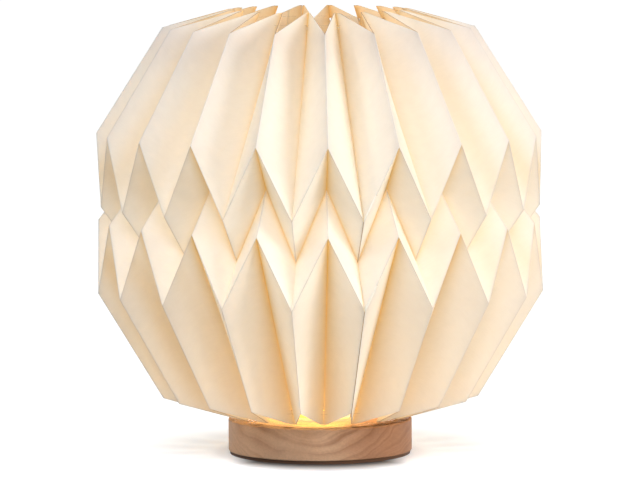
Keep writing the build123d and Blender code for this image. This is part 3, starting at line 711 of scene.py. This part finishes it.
def fold_marks(turn, rising, across):
    """The marks on a panel, each a share of 1: painted glow in a valley fold's bottom, painted shade beside
    it, and painted shade on the crest of a mountain fold. The glow and the crest shade die away from a fold
    as exp(-distance / reach) in mm, and the shade beside the valley as exp(-(distance / reach)^1.5). Towards
    the lamp's left and right, the glow and the shade beside the valley grow fainter by the squared sine of
    the turn, and a band of painted shade exp(-(distance / width)^2) beside the fold takes over. The fourth
    value is the place down the flat sheet."""
    at_side = sin(radians(turn)) ** 2
    side_shading = right_side_shading if sin(radians(turn)) > 0 else left_side_shading
    from_ridge = 1 - across if rising else across
    ridge_runs, tip_runs = fold_runs(ridge_corners), fold_runs(tip_corners)
    flat_top = panel_width * (1 - from_ridge[:, None])
    tiers = []
    for tier, rows in enumerate(down_tiers):
        share, down = np.meshgrid(from_ridge, rows, indexing="ij")
        run = ridge_runs[tier] + (tip_runs[tier] - ridge_runs[tier]) * share
        fallen = down * run
        to_ridge, to_tip = panel_width * share * 1000, panel_width * (1 - share) * 1000
        to_top, to_foot = mm_from_bend * fallen, mm_from_bend * (run - fallen)
        if tier == 0:
            valley, crest = to_tip, np.minimum(to_ridge, to_foot)
            painted_glow = (0.12 + 0.88 * np.exp(-fallen / 0.045)) * np.exp(-valley / 1.4)
            painted_shade = (0.12 + 0.4 * np.exp(-fallen / 0.055)) * np.exp(-((valley / 16.0) ** 1.5))
            crest_shade = 0.36 * np.exp(-to_ridge / 9)
        elif tier == 1:
            valley, crest = to_ridge, np.minimum(to_tip, to_top)
            painted_glow = np.maximum((0.75 + 0.15 * down) * np.exp(-valley / 1.4), 0.5 * np.exp(-to_foot / 1.2))
            painted_shade = (0.24 + 0.5 * down) * np.exp(-((valley / 7.0) ** 1.5))
            painted_shade = np.maximum(painted_shade, 0.25 * np.exp(-to_foot / 4))
            crest_shade = 0.0
        elif tier == 2:
            valley, crest = to_tip, np.minimum(to_ridge, to_foot)
            painted_glow = np.maximum(0.1 * np.exp(-valley / 1.4), 0.5 * np.exp(-to_top / 1.2))
            painted_shade = 0.25 * np.exp(-to_top / 4)
            crest_shade = 0.0
        else:
            valley, crest = to_ridge, np.minimum(to_tip, to_top)
            painted_glow = (1.0 - 0.4 * down) * np.exp(-valley / 1.4)
            painted_shade = (0.8 + 0.1 * down) * np.exp(-((valley / (6.5 + 7 * down)) ** 1.5))
            high_up = 0.3 * np.exp(-to_tip / 9 - fallen / 0.05)
            crest_shade = np.maximum(high_up, 0.5 * down * np.exp(-((to_ridge / 20) ** 2)))
        # towards the sides the painted glow and shade fade, and a band of painted shade beside the valley
        # takes over
        painted_glow = painted_glow * (1 - glow_lost_at_side * at_side)
        side_band = np.exp(-(((valley - side_band_middle) / side_band_width) ** 2))
        painted_shade = np.maximum(painted_shade * (1 - shade_lost_at_side * at_side), side_shading[tier] * at_side * side_band)
        # a thin line of painted shade along each mountain fold's crest
        crest_shade = np.maximum(0.5 * np.exp(-crest / 0.45), crest_shade)
        tiers.append(np.stack([painted_glow, painted_shade, crest_shade, -flat_top - fallen], -1)[:, (1 if tier else 0):])
        flat_top = flat_top + run[:, :1]
    return np.concatenate(tiers, 1)


def sheet_grid(seam_turn):
    """A half sheet as a grid of points, their marks, and each column's distance along the flat sheet. The
    panels are joined on one after the other from the seam. The last one sinks in by seam_depth over its
    last seam_run, and the glue tab goes on from there behind the other sheet's first panel."""
    points, marks, along = [], [], []
    for number in range(half_panels):
        turn, rising = seam_turn + number * panel_turn, number % 2 == 0
        panel = panel_points(turn, rising, across_panel)
        fresh = slice(1 if number else 0, None)
        points.append(panel[fresh])
        marks.append(fold_marks(turn + panel_turn / 2, rising, across_panel)[fresh])
        along.append((number + across_panel[fresh]) * panel_width)
    last, last_normal = points[-1], outward_of(panel)
    sunk = np.clip(1 - (1 - across_panel) * panel_width / seam_run, 0, 1)
    tab_turn = seam_turn + half_panels * panel_turn
    tab = panel_points(tab_turn, True, across_tab)
    tab_normal = outward_of(tab)
    facing = 1 + (last_normal[-1] * tab_normal[0]).sum(-1, keepdims=True)
    mitre = (last_normal[-1] + tab_normal[0]) / np.maximum(facing, 0.4)
    last[:-1] -= last_normal[1:-1] * (seam_depth * sunk[1:-1])[:, None, None]
    last[-1] -= mitre * seam_depth
    points.append(tab[1:] - tab_normal[1:] * seam_depth)
    marks.append(fold_marks(tab_turn, True, across_tab)[1:])
    along.append((half_panels + across_tab[1:]) * panel_width)
    return np.concatenate(points), np.concatenate(marks), np.concatenate(along)


def punch_holes(points, along, kept):
    """Makes a round hole on every fold, at the rim on tip folds and at the hem on ridge folds. The faces
    within two rows and columns of its centre go, and the ring of points round them moves on to the circle."""
    fold_columns = np.flatnonzero(np.isclose(along / panel_width, np.round(along / panel_width)))
    rim_row = int(np.argmin(abs(long_tier * long_tier_run - hole_from_edge)))
    hem_row = points.shape[1] - 1 - rim_row
    for number, column in enumerate(fold_columns):
        row, radius = (rim_row, rim_hole_radius) if number % 2 == 0 else (hem_row, hem_hole_radius)
        centre = points[column, row].copy()
        left, right = max(column - 2, 0), min(column + 2, len(points) - 1)
        kept[left:right, row - 2:row + 2] = False
        block = points[left:right + 1, row - 2:row + 3]
        reach = np.linalg.norm(block - centre, axis=-1, keepdims=True)
        ring = np.ones(block.shape[:2], bool)
        ring[(1 if left == column - 2 else 0):(-1 if right == column + 2 else None), 1:-1] = False
        block[ring] = (centre + (block - centre) * radius / np.maximum(reach, 1e-9))[ring]


def drop_loose_points(mesh, used):
    """Takes out the points that no face uses, which are those inside the punched holes."""
    work = bmesh.new()
    work.from_mesh(mesh)
    work.verts.ensure_lookup_table()
    bmesh.ops.delete(work, geom=[work.verts[n] for n in np.flatnonzero(~used)], context="VERTS")
    work.to_mesh(mesh)
    work.free()


def half_sheet(name, seam_turn):
    """One half of the shade: the grid's faces less the holes, with the marks as attributes and the place on
    the flat sheet as UV, and a wall a paper's thickness deep."""
    points, marks, along = sheet_grid(seam_turn)
    wide, deep = points.shape[:2]
    i, j = np.meshgrid(np.arange(wide - 1), np.arange(deep - 1), indexing="ij")
    first = i * deep + j
    faces = np.stack([first, first + 1, first + deep + 1, first + deep], -1)
    kept = np.ones(faces.shape[:2], bool)
    punch_holes(points, along, kept)
    mesh = bpy.data.meshes.new(name)
    mesh.from_pydata(points.reshape(-1, 3).tolist(), [], faces[kept].tolist())
    for number, mark in enumerate(("painted_glow", "painted_shade", "crest_shade")):
        values = marks[..., number].astype(np.float32).ravel()
        mesh.attributes.new(mark, "FLOAT", "POINT").data.foreach_set("value", values)
    flat_place = np.stack([np.broadcast_to(along[:, None], (wide, deep)), marks[..., 3]], -1).reshape(-1, 2)
    loop_points = np.zeros(len(mesh.loops), np.int64)
    mesh.loops.foreach_get("vertex_index", loop_points)
    flat_values = flat_place[loop_points].astype(np.float32).ravel()
    mesh.uv_layers.new(name="flat_sheet").data.foreach_set("uv", flat_values)
    mesh.polygons.foreach_set("use_smooth", np.ones(len(mesh.polygons), bool))
    # the wall's inner side takes the finish one slot on and its cut edge two on, from slot 0 for the sheet
    # and from slot 3 for the glued tab
    for finish in (outer_paper, inner_paper, cut_edge, glued_paper, glued_paper, cut_edge):
        mesh.materials.append(finish)
    on_tab = (i >= wide - len(across_tab))[kept]
    mesh.polygons.foreach_set("material_index", np.where(on_tab, 3, 0).astype(np.int32))
    mesh.update()
    sheet = bpy.data.objects.new(name, mesh)
    bpy.context.scene.collection.objects.link(sheet)
    used = np.zeros(len(mesh.vertices), bool)
    used[loop_points] = True
    drop_loose_points(mesh, used)
    wall = sheet.modifiers.new("paper_thickness", "SOLIDIFY")
    wall.thickness = paper_thickness
    wall.offset = -1
    wall.use_quality_normals = True
    wall.material_offset = 1
    wall.material_offset_rim = 2
    return sheet


for side, seam_turn in seam_turns.items():
    sheet = half_sheet("pleated_sheet_" + side, seam_turn)
    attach(sheet, "shade")
    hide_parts("shade_sheet_" + side)

# The gather threads.
# Clear nylon thread through the punched holes at the rim and the hem, pulled up and knotted at the back. It
# holds the pleats evenly.
nylon_thread = toned_finish("nylon_thread", colour(238, 234, 224), roughness=0.25, clouds=300, grains=3000,
                            spread=0.15, relief=0.00001, also={"Transmission Weight": 0.6, "Alpha": 0.12})
dress(nylon_thread, "top_gather_thread", "hem_gather_thread")
